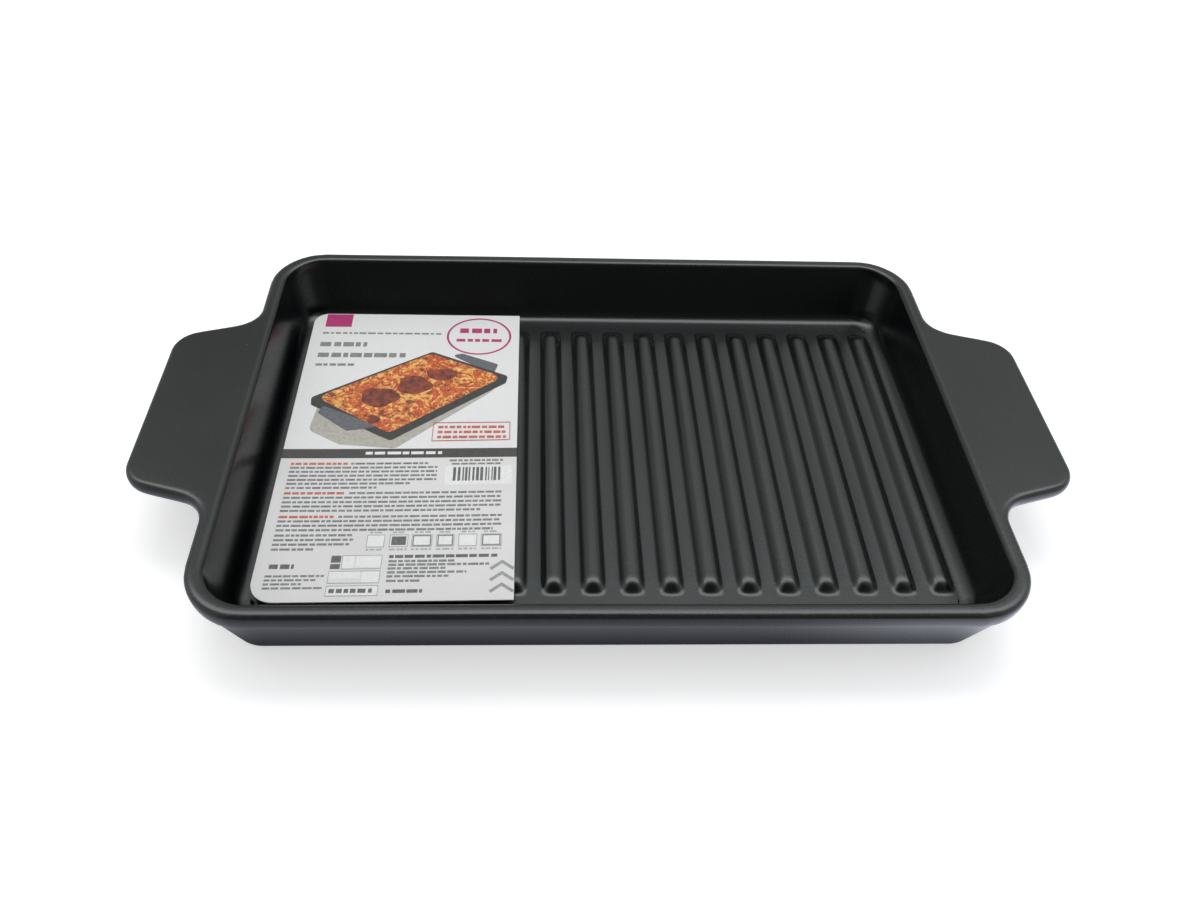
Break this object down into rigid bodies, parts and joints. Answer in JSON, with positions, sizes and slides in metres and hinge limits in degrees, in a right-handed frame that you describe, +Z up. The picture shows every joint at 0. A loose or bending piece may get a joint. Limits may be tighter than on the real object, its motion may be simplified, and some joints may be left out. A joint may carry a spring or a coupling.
{
  "type": "ribbed grill dish",
  "caption": "Shallow rectangular black stoneware grill dish with rounded ribs across its floor, a flat tab handle at each end and a printed retail label card lying on the ribs.",
  "frame": {"origin": "On the table, under the middle of the dish: the centre of the bottom of the whole part's box.", "axes": "+X towards the right-hand handle, along the length over both handles; +Y away from the cook, along the ribs; +Z up."},
  "size_m": [0.28, 0.16, 0.026],
  "materials": {
    "black_glaze": "satin black glaze",
    "card_stock": "coated white card, printed on top",
    "tacky_glue": "soft peelable glue"
  },
  "bodies": {
    "dish": {"dish": "black_glaze"},
    "label": {"label_card": "card_stock", "glue_dot_back_left": "tacky_glue", "glue_dot_back_right": "tacky_glue", "glue_dot_front_left": "tacky_glue", "glue_dot_front_right": "tacky_glue"}
  },
  "joints": [
    {"name": "label_lift", "type": "slide", "parent": "dish", "child": "label", "axis": [0, 0, 1], "range_m": [0, 0.06]}
  ]
}
